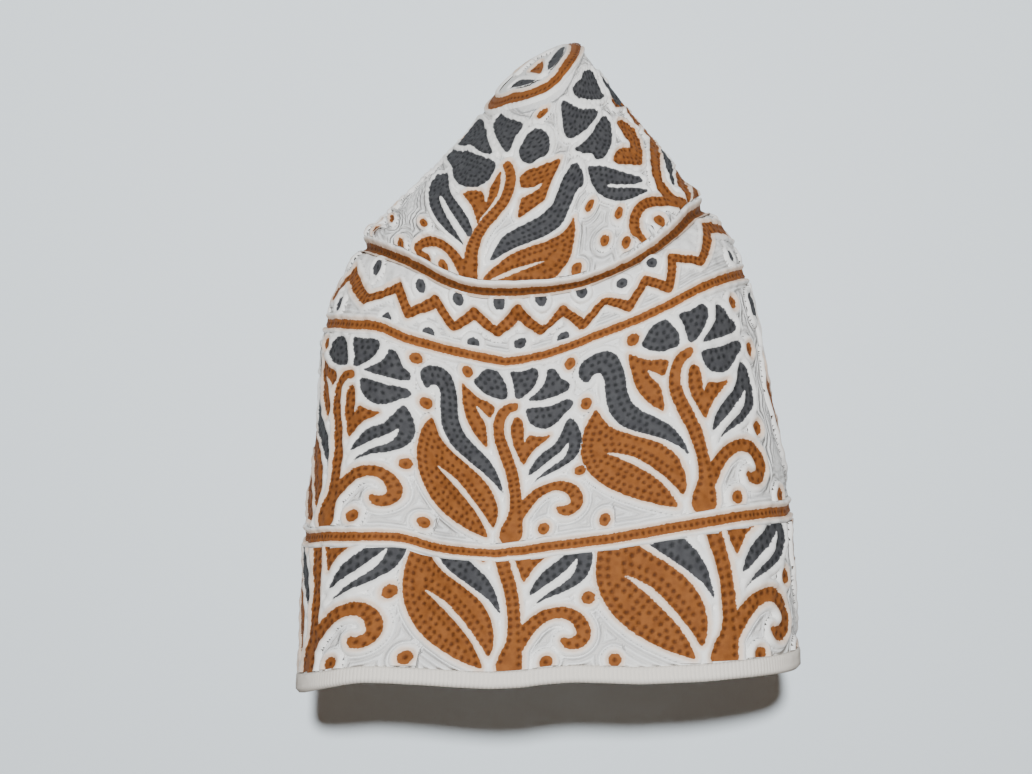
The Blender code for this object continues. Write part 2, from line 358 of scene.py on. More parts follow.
def weave_height(tree, place):
    """Height of the fine weave and of the thicker threads in it."""
    fine = node(tree, "ShaderNodeTexNoise",
                {"Vector": place, "Scale": 1 / (WEAVE_MM * MM), "Detail": 2.0, "Roughness": 0.6})["Fac"]
    slubs = node(tree, "ShaderNodeTexNoise", {"Vector": place, "Scale": 1 / (SLUB_MM * MM), "Detail": 3.0})["Fac"]
    both = node(tree, "ShaderNodeMath", {"operation": "ADD"}, fine, slubs)[0]
    return node(tree, "ShaderNodeMath", {"operation": "MULTIPLY"}, both, 0.6)[0]


def ground_cotton():
    """White quilted cotton: matt, with a fine weave and the ripples of its echo quilting."""
    material, tree, shader = new_material("white_quilted_cotton", COTTON_ROUGHNESS)
    place = node(tree, "ShaderNodeNewGeometry", {})["Position"]
    echo = node(tree, "ShaderNodeAttribute", {"attribute_name": "echo"})["Fac"]
    phase = node(tree, "ShaderNodeMath", {"operation": "MULTIPLY"}, echo, 2 * math.pi / ECHO_MM)[0]
    wave = node(tree, "ShaderNodeMath", {"operation": "SINE"}, phase)[0]
    fade = node(tree, "ShaderNodeMapRange", SMOOTH, echo, 1.5, 11.0, 1.0, 0.15)[0]
    ripple = node(tree, "ShaderNodeMath", {"operation": "MULTIPLY"}, wave, fade)[0]
    height = node(tree, "ShaderNodeMath", {"operation": "ADD"}, ripple, weave_height(tree, place))[0]
    bump = node(tree, "ShaderNodeBump", {"Strength": 1.0, "Distance": 0.4 * MM, "Height": height})["Normal"]
    # Painted shade: soft patches that darken the white cloth.
    cloud = node(tree, "ShaderNodeTexNoise", {"Vector": place, "Scale": 1 / (SHADE_PATCH_MM * MM), "Detail": 4.0})["Fac"]
    shade_patches = node(tree, "ShaderNodeMapRange", SMOOTH, cloud, 0.3, 0.7)[0]
    # Painted shade: the valleys of the echo ripples are darkened, where the stitched rows sink.
    furrow_shade = node(tree, "ShaderNodeMapRange", SMOOTH, ripple, -0.9, 0.1, 0.55, 0.0)[0]
    tone = node(tree, "ShaderNodeMix",
                {"data_type": "RGBA", 0: shade_patches, 6: linear(GROUND_WHITE), 7: linear(GROUND_PATCH_SHADE)})[2]
    tone = node(tree, "ShaderNodeMix", {"data_type": "RGBA", 0: furrow_shade, 6: tone, 7: linear(GROUND_FURROW_SHADE)})[2]
    tree.links.new(tone, shader.inputs["Base Color"])
    tree.links.new(bump, shader.inputs["Normal"])
    return material


white_cotton = ground_cotton()


# The cloth lies a cord's height under the solid's face, so that the stitching on it reaches the face
CORD_HEIGHT = 1.25
WALL_OUT = -CORD_HEIGHT
WALL_IN = -2.4
WALL_COLUMNS = 496
PIECE_GAP_SHARE = 0.0002


def mesh_object(name, points, faces, layers, material):
    """A smooth mesh with named layers of numbers on its points, riding on the cap."""
    mesh = bpy.data.meshes.new(name)
    mesh.from_pydata(points.tolist(), [], faces)
    for layer, values in layers.items():
        mesh.attributes.new(layer, "FLOAT", "POINT").data.foreach_set("value", np.asarray(values, np.float32).ravel())
    mesh.materials.append(material)
    mesh.shade_smooth()
    mesh.update()
    piece = bpy.data.objects.new(name, mesh)
    bpy.context.scene.collection.objects.link(piece)
    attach(piece, "root")
    return piece


def ring_faces(rows, columns, closed):
    """Quads between rows of points round the cap, and between the last row and the first if closed."""
    faces = []
    for r in range(rows if closed else rows - 1):
        low, high = r * columns, (r + 1) % rows * columns
        faces += [(low + c, low + (c + 1) % columns, high + (c + 1) % columns, high + c) for c in range(columns)]
    return faces


def cloth_tube(outside_shares, inside_shares, columns, outside, inside):
    """Points of a closed band of cloth: its outside rows going up, and its inside rows coming down."""
    turns = np.arange(columns) / columns
    share = np.concatenate([outside_shares, inside_shares])[:, None] + 0 * turns
    turn = turns + 0 * share
    out = np.concatenate([outside, inside])[:, None] + 0 * share
    return share, turn, out


# Rows of points lie closest at the seam, where the cloth bends sharply
wall_low, wall_high = HEM_SHARE + PIECE_GAP_SHARE, SEAM_SHARE - PIECE_GAP_SHARE
outside_rows = np.concatenate([np.linspace(wall_low, 0.83, 100), np.linspace(0.835, wall_high, 50)])
inside_rows = np.concatenate([np.linspace(wall_high, 0.84, 30), np.linspace(0.82, wall_low, 18)])
wall_share, wall_turn, wall_out = cloth_tube(
    outside_rows, inside_rows, WALL_COLUMNS, np.full(len(outside_rows), WALL_OUT), np.full(len(inside_rows), WALL_IN))
wall_points = on_cloth(wall_share, wall_turn, wall_out).reshape(-1, 3)
side_wall = mesh_object("side_wall_cotton", wall_points, ring_faces(len(wall_share), WALL_COLUMNS, True), {},
                        white_cotton)
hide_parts("side_wall")


# The crown: the same quilted cotton, cut round and gathered into the seam, and pushed up to a blunt point. The
# medallion at its middle is cut with it, and it is turned away to the upper left.
CROWN_COLUMNS = 420
CROWN_ROWS = 134
CROWN_INSIDE_ROWS = 30


def capped_faces(rows, columns, top):
    """Quads between open rows of points, closed by a fan to the point with the index top."""
    last = (rows - 1) * columns
    return ring_faces(rows, columns, False) + [(last + c, last + (c + 1) % columns, top) for c in range(columns)]


crown_low = SEAM_SHARE + PIECE_GAP_SHARE * 2
crown_up = np.concatenate([np.linspace(crown_low, 1.12, 32), np.linspace(1.13, 1.88, 60),
                           np.linspace(1.89, 2.12, 22), np.linspace(2.15, POLE_SHARE, 20)])
crown_down = np.linspace(crown_low, POLE_SHARE, CROWN_INSIDE_ROWS)
outer = on_cloth(*cloth_tube(crown_up, [], CROWN_COLUMNS, np.full(CROWN_ROWS, WALL_OUT), []))
inner = on_cloth(*cloth_tube(crown_down, [], CROWN_COLUMNS, np.full(CROWN_INSIDE_ROWS, WALL_IN), []))
crown_points = np.vstack([
    outer.reshape(-1, 3), outer[-1].mean(0)[None], inner.reshape(-1, 3), inner[-1].mean(0)[None]
])
inner_start = CROWN_ROWS * CROWN_COLUMNS + 1
crown_faces = capped_faces(CROWN_ROWS, CROWN_COLUMNS, inner_start - 1)
inner_faces = capped_faces(CROWN_INSIDE_ROWS, CROWN_COLUMNS, CROWN_INSIDE_ROWS * CROWN_COLUMNS)
crown_faces += [tuple(inner_start + i for i in reversed(face)) for face in inner_faces]
crown_faces += [(c, inner_start + c, inner_start + (c + 1) % CROWN_COLUMNS, (c + 1) % CROWN_COLUMNS)
                for c in range(CROWN_COLUMNS)]
crown = mesh_object("crown_cotton", crown_points, crown_faces, {}, white_cotton)
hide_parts("crown")


# The rim hem: plain white cotton folded over the wall's raw edge and ribbed by close upright stitches. Its fold is
# soft and round, and it is thicker than the wall.
HEM_RIBS = 410
HEM_RIB_DEPTH = 0.5
HEM_THICKNESS = 3.2
HEM_COLUMNS = HEM_RIBS * 3
HEM_FACE_ROWS = 7
HEM_ROUND_PART, HEM_ROUND_DEPTH = 0.35, 1.1
HEM_TUCK_PART, HEM_FACE_TUCK, HEM_BACK_TUCK = 0.25, 0.5, 0.4
HEM_FACE_OUT = -0.15
HEM_WHITE = "DAD0C4"


def hem_cotton():
    """White cotton, folded and stitched: matt, with a fine weave."""
    material, tree, shader = new_material("folded_hem_cotton", COTTON_ROUGHNESS)
    shader.inputs["Base Color"].default_value = linear(HEM_WHITE)
    height = weave_height(tree, node(tree, "ShaderNodeNewGeometry", {})["Position"])
    bump = node(tree, "ShaderNodeBump", {"Strength": 0.5, "Distance": 0.15 * MM, "Height": height})["Normal"]
    tree.links.new(bump, shader.inputs["Normal"])
    return material


hem_top = HEM_SHARE - PIECE_GAP_SHARE
fold = np.linspace(0, 1, HEM_FACE_ROWS)
hem_out_rows = hem_top * fold
hem_in_rows = hem_out_rows[::-1]
round_over = 1 - np.sqrt(np.clip(1 - (1 - np.clip(hem_out_rows / hem_top / HEM_ROUND_PART, 0, 1)) ** 2, 0, 1))
tuck = np.clip((fold - 1) / HEM_TUCK_PART + 1, 0, 1) ** 2
hem_face = HEM_FACE_OUT - HEM_ROUND_DEPTH * round_over - HEM_FACE_TUCK * tuck
hem_back = (-HEM_THICKNESS + HEM_ROUND_DEPTH * round_over + HEM_BACK_TUCK * tuck)[::-1]
hem_share, hem_turn, hem_depth = cloth_tube(hem_out_rows, hem_in_rows, HEM_COLUMNS, hem_face, hem_back)
rib = np.cos(2 * np.pi * HEM_RIBS * hem_turn) * HEM_RIB_DEPTH * (1 - np.abs(hem_share / hem_top - 0.5))
hem_depth = np.minimum(hem_depth + np.where(hem_depth > -HEM_THICKNESS / 2, rib, 0), 0)
rim_hem = mesh_object("rim_hem_cotton", on_cloth(hem_share, hem_turn, hem_depth).reshape(-1, 3),
                      ring_faces(2 * HEM_FACE_ROWS, HEM_COLUMNS, True), {}, hem_cotton())
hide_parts("rim_hem")


# The floral scrolls. On the wall one stands eight times round, and eight more times under the lower line, which cuts
# it off. On the crown a mirrored one stands five times round. A machine sews it through the cloth in two colours of
# cotton, each filling pierced with rows of eyelets and edged with a raised white cord.
WALL_FIGURES = 8
CROWN_FIGURES = 5
# The three tiers that the figures stand in: the share of their foot, and how much share a millimetre takes
WALL_SHARE_PER_MM = 1 / 127.4
CROWN_SHARE_PER_MM = 0.0130
TIERS = {
    "wall_scroll": (LOWER_LINE_SHARE, WALL_SHARE_PER_MM),
    "lower_scroll": (HEM_SHARE, WALL_SHARE_PER_MM),
    "crown_scroll": (SEAM_SHARE, CROWN_SHARE_PER_MM),
}


def tier_mm(tier, share, turn, foot_turn):
    """Millimetres across from a turn and up from a tier's foot."""
    foot, per_mm = TIERS[tier]
    across = ((turn - foot_turn + 0.5) % 1 - 0.5) * round_mm(share)
    return np.stack([across, (share - foot) / per_mm], -1)


# The charts have outlines in the photo's pixels, and strokes have half their filling's width as a third number.
WALL_FOOT = (511, 540)
WALL_GREY = {
    "petal_left": ((472, 380), (477, 377), (480, 372), (485, 368), (492, 368), (499, 371), (503, 378), (507, 386),
                   (508, 398), (500, 399), (489, 396), (480, 390)),
    "petal_top": ((509, 371), (514, 370), (520, 371), (526, 369), (532, 367), (538, 368), (539, 375), (535, 385),
                  (528, 393), (520, 399), (515, 398), (514, 390), (512, 380)),
    "petal_upper_right": ((547, 368), (553, 367), (558, 372), (561, 378), (568, 380), (571, 387), (565, 392),
                          (552, 397), (540, 400), (526, 401), (534, 394), (542, 386), (546, 378)),
    "petal_right": ((525, 407), (537, 407), (550, 405), (562, 400), (570, 398), (574, 401), (572, 407), (566, 411),
                    (561, 418), (554, 425), (545, 429), (535, 427), (528, 421), (526, 414)),
    "hooked_leaf": ((504, 495), (502, 485), (498, 473), (490, 460), (478, 448), (466, 436), (459, 424), (457, 410),
                    (457, 396), (454, 382), (449, 372), (440, 366), (430, 364), (422, 366), (419, 374), (422, 383),
                    (427, 389), (431, 384), (437, 385), (440, 394), (439, 407), (440, 422), (445, 437), (454, 449),
                    (470, 462), (486, 475), (497, 486)),
    "lens": ((527, 477), (530, 467), (537, 457), (546, 449), (555, 443), (560, 434), (564, 424), (569, 415),
             (576, 421), (581, 430), (583, 441), (579, 453), (571, 461), (558, 469), (545, 475), (536, 480),
             (529, 487), (537, 477), (547, 469), (559, 461), (567, 453), (570, 439), (563, 449), (551, 459),
             (540, 467)),
}
WALL_ORANGE = {
    "split_leaf": ((431, 415), (427, 420), (422, 426), (418, 437), (416, 450), (417, 465), (421, 479), (428, 494),
                   (438, 508), (452, 520), (468, 530), (480, 535), (489, 538), (484, 526), (477, 513), (466, 499),
                   (452, 483), (441, 471), (434, 463), (443, 469), (455, 478), (466, 491), (477, 505), (487, 519),
                   (493, 530), (498, 516), (497, 503), (492, 490), (481, 476), (466, 463), (450, 450), (440, 439),
                   (435, 426)),
    "leaf_by_stem": ((461, 380), (468, 388), (477, 396), (487, 401), (496, 406), (494, 412), (490, 418),
                     (484, 412), (474, 403), (479, 413), (485, 421), (487, 432), (488, 449), (479, 440),
                     (471, 429), (465, 417), (462, 402), (461, 390)),
    "heart": ((517, 415), (523, 420), (524, 430), (524, 444), (528, 434), (534, 435), (542, 436), (553, 433),
              (545, 441), (535, 448), (528, 457), (523, 466), (518, 456), (512, 442), (510, 430), (512, 420)),
}
WALL_STROKES = {
    "stem": ((511, 533, 12.0), (512, 527, 11.0), (515, 517, 8.0), (516, 505, 6.3), (515, 490, 6.0), (512, 473, 6.2),
             (506, 456, 6.4), (500, 440, 6.2), (498, 426, 5.6), (501, 415, 5.4), (507, 408, 5.2), (514, 406, 4.6)),
    "scroll": ((518, 516, 6.5), (525, 505, 7.0), (534, 495, 6.2), (545, 488, 5.6), (557, 484.5, 5.4),
               (568, 486, 5.8), (576, 493, 6.6), (577.5, 502, 6.6), (571, 509, 6.2), (563, 510.5, 5.0),
               (559, 508, 3.0)),
}
WALL_DOTS = ((467, 371), (570, 363), (586, 403), (580, 469.5), (544, 528), (605, 519))
CROWN_FOOT = (470, 283)
CROWN_GREY = {
    "petal_low_left": ((447, 152), (448, 148), (453, 147), (463, 150), (477, 153), (490, 157), (496, 161), (495, 168),
                       (490, 177), (483, 183), (475, 186), (467, 186), (458, 183), (453, 177), (451, 168), (448, 160)),
    "petal_left": ((455, 137), (458, 132), (465, 129), (470, 122), (473, 117), (480, 116), (484, 120), (483, 128),
                   (487, 137), (490, 145), (493, 152), (488, 153), (477, 149), (465, 145), (457, 141)),
    "petal_top": ((492, 122), (495, 115), (502, 113), (508, 117), (517, 118), (523, 122), (522, 127), (517, 132),
                  (513, 140), (510, 148), (507, 152), (502, 147), (497, 138), (493, 130)),
    "petal_right": ((518, 150), (522, 140), (527, 132), (533, 127), (542, 127), (548, 132), (550, 140), (550, 148),
                    (545, 155), (537, 158), (530, 163), (525, 162), (520, 158)),
    "hooked_leaf": ((488, 262), (498, 257), (510, 250), (523, 244), (537, 239), (550, 233), (562, 225), (568, 213),
                    (573, 200), (578, 188), (584, 185), (585, 177), (582, 167), (577, 161), (572, 162), (567, 170),
                    (562, 178), (558, 190), (553, 203), (543, 213), (530, 220), (517, 227), (505, 233), (498, 242),
                    (493, 252)),
    "lens": ((442, 172), (435, 173), (429, 182), (427, 193), (429, 205), (435, 218), (445, 230), (457, 240),
             (465, 247), (461, 240), (453, 227), (445, 213), (439, 200), (438, 194), (442, 196), (448, 207),
             (455, 218), (463, 230), (468, 238), (472, 233), (472, 227), (468, 217), (460, 205), (452, 195),
             (448, 187), (448, 177), (447, 171)),
    "far_petal": ((419, 173), (422, 166), (428, 160), (435, 153), (440, 151), (439, 158), (434, 167), (427, 173)),
}
CROWN_ORANGE = {
    "split_leaf": ((481, 281), (489, 272), (498, 263), (512, 253), (528, 246), (545, 241), (562, 233), (571, 223),
                   (575, 214), (577, 228), (574, 243), (571, 257), (563, 270), (554, 281), (543, 284), (517, 283),
                   (494, 282), (503, 279), (520, 272), (535, 265), (548, 259), (533, 263), (517, 268), (500, 276),
                   (487, 282)),
    "leaf_by_stem": ((520, 173), (530, 167), (545, 162), (562, 155), (559, 165), (553, 177), (548, 190), (545, 200),
                     (533, 207), (525, 214), (517, 218), (519, 207), (521, 196), (530, 193), (538, 188), (544, 181),
                     (535, 185), (527, 187), (522, 187), (519, 182)),
    "heart": ((461, 192), (470, 189), (480, 188), (484, 193), (485, 202), (488, 197), (489, 188), (493, 180),
              (498, 172), (501, 168), (501, 177), (500, 187), (497, 195), (492, 203), (485, 212), (480, 218),
              (477, 225), (476, 220), (474, 212), (470, 203), (465, 197)),
}
CROWN_STROKES = {
    "stem": ((469, 281, 9.0), (470, 270, 9.0), (470, 258, 7.5), (473, 243, 6.5), (481, 227, 6.2), (493, 214, 6.2),
             (504, 201, 6.2), (510, 187, 5.8), (511, 172, 5.2), (507, 163, 4.6)),
    "scroll": ((466, 276, 6.5), (459, 262, 6.5), (450, 250, 6.2), (439, 242, 6.0), (426, 240, 6.0), (418, 247, 5.6),
               (421, 256, 5.0), (429, 259, 3.6)),
}
CROWN_DOTS = ((542, 112), (590.5, 205.5), (576.5, 270), (605, 239), (619, 212), (626, 243), (444, 267), (410, 188),
              (391, 218), (422, 222), (402, 245), (425, 260))
# The crown's next figure, which is seen from its side. Its own far half isn't seen, and is drawn as the first one's.
SIDE_FOOT = (683, 209)
SIDE_GREY = {
    "petal_top": ((583, 70), (590, 68), (595, 70), (597, 78), (602, 88), (606, 94), (603, 98), (593, 99), (580, 98),
                  (574, 93), (572, 87), (575, 82), (582, 78)),
    "petal_left": ((560, 102), (563, 98), (570, 102), (580, 107), (590, 108), (600, 107), (597, 117), (588, 127),
                   (577, 135), (567, 138), (563, 128), (562, 115)),
    "petal_low_left": ((573, 148), (582, 142), (592, 132), (600, 118), (605, 113), (610, 117), (613, 128),
                       (613, 142), (608, 152), (602, 159), (595, 158), (592, 151), (587, 153), (580, 151)),
    "lens": ((588, 163), (610, 166), (627, 172), (640, 175), (646, 180), (637, 183), (623, 184), (610, 183),
             (607, 185), (612, 187), (627, 186.5), (643, 187), (651, 190), (643, 193), (633, 198), (620, 201),
             (607, 198), (597, 192), (591, 180), (588, 170)),
}
SIDE_ORANGE = {
    "heart": ((618, 118), (627, 120), (635, 127), (640, 137), (643, 147), (644, 158), (643, 165), (632, 163),
              (620, 163), (613, 160), (615, 152), (620, 147), (625, 145), (629, 147), (632, 145), (627, 137),
              (622, 130), (618, 125)),
}
SIDE_STROKES = {
    "stem": ((683, 207, 9.0), (677, 203, 9.0), (667, 192, 9.0), (660, 180, 9.5), (657, 167, 9.5), (656, 153, 9.5),
             (655, 140, 9.5), (650, 127, 9.0), (640, 115, 8.0), (627, 105, 7.0), (615, 102, 6.0)),
    "scroll": ((673, 203, 6.5), (660, 200, 6.0), (645, 202, 6.0), (636, 212, 6.0), (634, 227, 5.6), (638, 237, 5.0),
               (645, 242, 4.0)),
}
SIDE_DOTS = ((659, 222),)
FAR_HALF = ("petal_right", "hooked_leaf", "split_leaf", "leaf_by_stem")
DOT_RADIUS = 1.85
# The same places of the figure, in the chart and on the repeats that the photo shows beside it: x and y of each
WALL_PINS = {
    "wall_left": ((511, 536, 321, 522), (490, 385, 332, 353), (524, 382, 363, 349), (550, 385, 390, 364),
                  (548, 414, 386, 395), (570, 363, 415, 355), (586, 403, 423, 403.5), (580, 469.5, 405, 465),
                  (544, 528, 355, 515.5), (605, 519, 418, 524), (529, 487, 349, 462), (569, 415, 405.5, 406.5),
                  (584, 500, 403.5, 487)),
    "wall_right": ((511, 536, 703, 509), (467, 371, 621.5, 344), (570, 363, 725, 298), (586, 403, 756.5, 349),
                   (580, 469.5, 766.5, 426), (544, 528, 737, 495), (431, 415, 595, 412), (416, 450, 587.7, 435.5),
                   (419, 374, 578, 374), (430, 364, 600, 358.5), (504, 495, 682, 459), (527, 477, 706.5, 435.5),
                   (489, 538, 679, 513)),
    "lower_left": ((511, 536, 303, 676), (544, 528, 333.7, 662), (605, 519, 401, 660), (580, 469.5, 386.7, 594.3),
                   (557, 479, 357, 605), (584, 500, 385, 623), (529, 487, 325, 602.5), (527, 477, 325, 590)),
    "lower_middle": ((511, 536, 508, 672), (544, 528, 545, 663), (605, 519, 617, 660), (580, 469.5, 589, 600),
                     (489, 538, 482.7, 672.5), (434, 463, 425, 592.7), (417, 465, 401, 587), (504, 495, 499.3, 617),
                     (557, 479, 565, 608.3), (584, 500, 593, 628), (529, 487, 530, 608), (583, 441, 590.7, 560)),
    "lower_right": ((511, 536, 726.7, 661.5), (544, 528, 763.7, 651), (580, 469.5, 791, 579), (489, 538, 700, 665.5),
                    (434, 463, 629.5, 590), (417, 465, 598.5, 571), (504, 495, 706, 599), (557, 479, 773, 587),
                    (559, 508, 775, 628), (527, 477, 734, 573), (529, 487, 739, 586.5)),
}
# The figure's own grid and its relief, in millimetres
FIGURE_STEP = 0.48
FIGURE_MARGIN = 3.0
CORD_WIDTH = 1.95
FILLING_HEIGHT = 0.5
SKIRT = 0.4
EYELET_ROW = 1.9
EYELET_STEP = 1.95
FIRST_ROW = 0.95
STROKE_ROW = 1.55
DEEPEST_ROW = 8
APART_IN_FILLING, APART_IN_STROKE, APART_ANYWHERE = 0.92, 0.8, 0.75
EYELET_SEARCH_STEP = 0.3
EYELET_ROW_SLACK = 0.25
EYELET_DEPTH = 0.28
EYELET_RADIUS = 0.5
CHART_PIXELS_PER_MM = 3.3


def rounded(points, closed):
    """The outline with its corners cut twice, as thread rounds them."""
    for _ in range(2):
        ahead = np.roll(points, -1, axis=0) if closed else points[1:]
        behind = points if closed else points[:-1]
        cut = np.stack([behind * 0.75 + ahead * 0.25, behind * 0.25 + ahead * 0.75], 1).reshape(-1, points.shape[1])
        points = cut if closed else np.concatenate([points[:1], cut[1:-1], points[-1:]])
    return points


def distance_to_line(places, line, half_width):
    """How far each place lies outside a line that is half_width thick on each side, in millimetres."""
    best = np.full(len(places), 1e9)
    for a, b, wa, wb in zip(line[:-1], line[1:], half_width[:-1], half_width[1:]):
        run = b - a
        u = np.clip(((places - a) @ run) / max(run @ run, 1e-9), 0, 1)
        best = np.minimum(best, np.linalg.norm(places - a - u[:, None] * run, axis=1) - (wa + (wb - wa) * u))
    return best


def outside_outline(places, outline):
    """Signed distance of each place from a closed outline, minus inside, in millimetres."""
    closed = np.vstack([outline, outline[:1]])
    gap = distance_to_line(places, closed, np.zeros(len(closed)))
    inside = np.zeros(len(places), bool)
    for a, b in zip(closed[:-1], closed[1:]):
        crosses = (a[1] > places[:, 1]) != (b[1] > places[:, 1])
        at = a[0] + (places[:, 1] - a[1]) / (b[1] - a[1] + 1e-12) * (b[0] - a[0])
        inside ^= crosses & (places[:, 0] < at)
    return np.where(inside, -gap, gap)


def sample_grid(values, x0, y0, step, x, y, beyond):
    """Values of a grid at any place on it, and beyond off it."""
    c, r = (x - x0) / step, (y - y0) / step
    on = (c >= 0) & (r >= 0) & (c < values.shape[1] - 1) & (r < values.shape[0] - 1)
    c, r = np.where(on, c, 0), np.where(on, r, 0)
    c0, r0 = c.astype(int), r.astype(int)
    u, v = c - c0, r - r0
    found = (
        values[r0, c0] * (1 - u) * (1 - v) + values[r0, c0 + 1] * u * (1 - v)
        + values[r0 + 1, c0] * (1 - u) * v + values[r0 + 1, c0 + 1] * u * v
    )
    return np.where(on, found, beyond)


def eyelets_inside(line, depths, x0, y0):
    """Places for eyelets in rows inside a filling, parallel to its edge, from a grid of how deep each place lies."""
    length = np.linalg.norm(np.roll(line, -1, axis=0) - line, axis=1)
    at = np.arange(0, length.sum(), EYELET_SEARCH_STEP)
    along = np.append(0, np.cumsum(length))
    edge = np.stack([np.interp(at, along, np.append(values, values[0])) for values in line.T], 1)
    way = np.roll(edge, -1, axis=0) - np.roll(edge, 1, axis=0)
    side = np.stack([-way[:, 1], way[:, 0]], 1) / np.maximum(np.linalg.norm(way, axis=1), 1e-9)[:, None]
    found = []
    for depth in np.arange(FIRST_ROW, DEEPEST_ROW, EYELET_ROW):
        for place in (edge + side * depth, edge - side * depth):
            reading = sample_grid(depths, x0, y0, FIGURE_STEP, place[:, 0], place[:, 1], -9)
            found.append(place[np.abs(reading - depth) < EYELET_ROW_SLACK])
    return np.vstack(found)


def thinned(places, apart):
    """The places in order, leaving out each that is too near to one that was kept."""
    kept = np.zeros((0, 2))
    for p in places:
        if len(kept) == 0 or ((kept - p) ** 2).sum(1).min() >= apart * apart:
            kept = np.vstack([kept, p])
    return kept


def beside(line, start, step):
    """Places at even steps along a line, and the way across it at each."""
    at = np.append(0, np.cumsum(np.linalg.norm(np.diff(line[:, :2], axis=0), axis=1)))
    row = np.stack([np.interp(np.arange(start, at[-1], step), at, values) for values in line.T], 1)
    way = np.gradient(row[:, :2], axis=0)
    return row, np.stack([-way[:, 1], way[:, 0]], 1) / np.linalg.norm(way, axis=1)[:, None]


def distance_to_nearest(places, centres):
    """Millimetres from each place to the nearest of the centres."""
    nearest = np.full(len(places), 1e9)
    for centre in centres:
        nearest = np.minimum(nearest, np.linalg.norm(places - centre, axis=1))
    return nearest


def work_figure(tier, foot, grey_chart, orange_chart, stroke_chart, dot_chart, lent=()):
    """A figure on its own flat grid in millimetres, from its foot: how far each place lies from both fillings and
    from the nearest eyelet."""
    foot_turn = cloth_place([foot])[1][0]
    grey_lines, orange_lines = ([rounded(tier_mm(tier, *cloth_place(p), foot_turn), True) for p in chart.values()]
                                for chart in (grey_chart, orange_chart))
    for colour, outline, lender_turn in lent:
        lines = grey_lines if colour == "grey" else orange_lines
        lines.append(rounded(tier_mm(tier, *cloth_place(outline), lender_turn), True))
    stroke_lines = []
    for stroke in stroke_chart.values():
        points = np.array(stroke, float)
        middle = tier_mm(tier, *cloth_place(points[:, :2]), foot_turn)
        stroke_lines.append(rounded(np.hstack([middle, points[:, 2:] / CHART_PIXELS_PER_MM]), False))
    dots = tier_mm(tier, *cloth_place(dot_chart), foot_turn)
    reach = np.vstack([*grey_lines, *orange_lines, *[s[:, :2] for s in stroke_lines], dots])
    low, high = reach.min(0) - FIGURE_MARGIN, reach.max(0) + FIGURE_MARGIN
    low[1] = max(low[1], 0.0)
    x, y = (np.arange(low[n], high[n] + FIGURE_STEP / 2, FIGURE_STEP) for n in (0, 1))
    across, up = np.meshgrid(x, y)
    places = np.stack([across.ravel(), up.ravel()], 1)
    grey_gaps = [outside_outline(places, line) for line in grey_lines]
    orange_gaps = [outside_outline(places, line) for line in orange_lines]
    eyelets = [dots]
    for line, gap in zip(grey_lines + orange_lines, grey_gaps + orange_gaps):
        rows = eyelets_inside(line, -gap.reshape(across.shape), x[0], y[0])
        eyelets.append(thinned(rows, EYELET_STEP * APART_IN_FILLING))
    for line in stroke_lines:
        row, side = beside(line, 0.8, EYELET_STEP)
        apart = side * np.where(row[:, 2] > STROKE_ROW, row[:, 2] - FIRST_ROW, 0)[:, None]
        eyelets.append(thinned(np.vstack([row[:, :2] + apart, row[:, :2] - apart]), EYELET_STEP * APART_IN_STROKE))
    orange_gaps += [distance_to_line(places, line[:, :2], line[:, 2]) for line in stroke_lines]
    orange_gaps.append(distance_to_nearest(places, dots) - DOT_RADIUS)
    centres = thinned(np.vstack(eyelets), EYELET_STEP * APART_ANYWHERE)
    found = {"orange": np.min(orange_gaps, axis=0), "grey": np.min(grey_gaps, axis=0),
             "eyelet": distance_to_nearest(places, centres)}
    grids = {name: values.reshape(across.shape) for name, values in found.items()}
    return {"foot_turn": foot_turn, "across": across, "up": up, **grids}


wall_figure = work_figure("wall_scroll", WALL_FOOT, WALL_GREY, WALL_ORANGE, WALL_STROKES, WALL_DOTS)
crown_figure = work_figure("crown_scroll", CROWN_FOOT, CROWN_GREY, CROWN_ORANGE, CROWN_STROKES, CROWN_DOTS)
lent_outlines = [("grey", p, crown_figure["foot_turn"]) for k, p in CROWN_GREY.items() if k in FAR_HALF]
lent_outlines += [("orange", p, crown_figure["foot_turn"]) for k, p in CROWN_ORANGE.items() if k in FAR_HALF]
side_figure = work_figure("crown_scroll", SIDE_FOOT, SIDE_GREY, SIDE_ORANGE, SIDE_STROKES, SIDE_DOTS, lent_outlines)


def pinned(tier, name):
    """The stretch and shift that lay the wall's figure on one of its repeats, and that repeat's turn."""
    pins = np.array(WALL_PINS[name], float)
    drawn = tier_mm("wall_scroll", *cloth_place(pins[:, :2]), wall_figure["foot_turn"])
    share, turn = cloth_place(pins[:, 2:])
    seen = tier_mm(tier, share, turn, turn[0])
    fit = np.linalg.lstsq(np.hstack([drawn, np.ones((len(pins), 1))]), seen, rcond=None)[0]
    return fit[:2].T, fit[2], turn[0]


# Where each figure stands: its name, its tier, its chart, its stretch, its shift and its turn. Those that the photo
# hides fill the back, a little closer and on the crown narrower, so that none of them comes round into sight.
BACK_NARROWER = {"wall_scroll": 1.0, "lower_scroll": 1.0, "crown_scroll": 0.86}
BACK_ROOM = {"wall_scroll": (0.028, 0.012), "lower_scroll": (0.020, 0.010), "crown_scroll": (0.040, 0.052)}
straight, unmoved = np.eye(2), np.zeros(2)
seen_figures = {
    "wall_scroll": {0: (straight, unmoved, wall_figure["foot_turn"]), 1: pinned("wall_scroll", "wall_right"),
                    WALL_FIGURES - 1: pinned("wall_scroll", "wall_left")},
    "lower_scroll": {0: pinned("lower_scroll", "lower_middle"), 1: pinned("lower_scroll", "lower_right"),
                     WALL_FIGURES - 1: pinned("lower_scroll", "lower_left")},
    "crown_scroll": {0: (straight, unmoved, crown_figure["foot_turn"]),
                     1: (straight, unmoved, side_figure["foot_turn"])},
}
figures = []
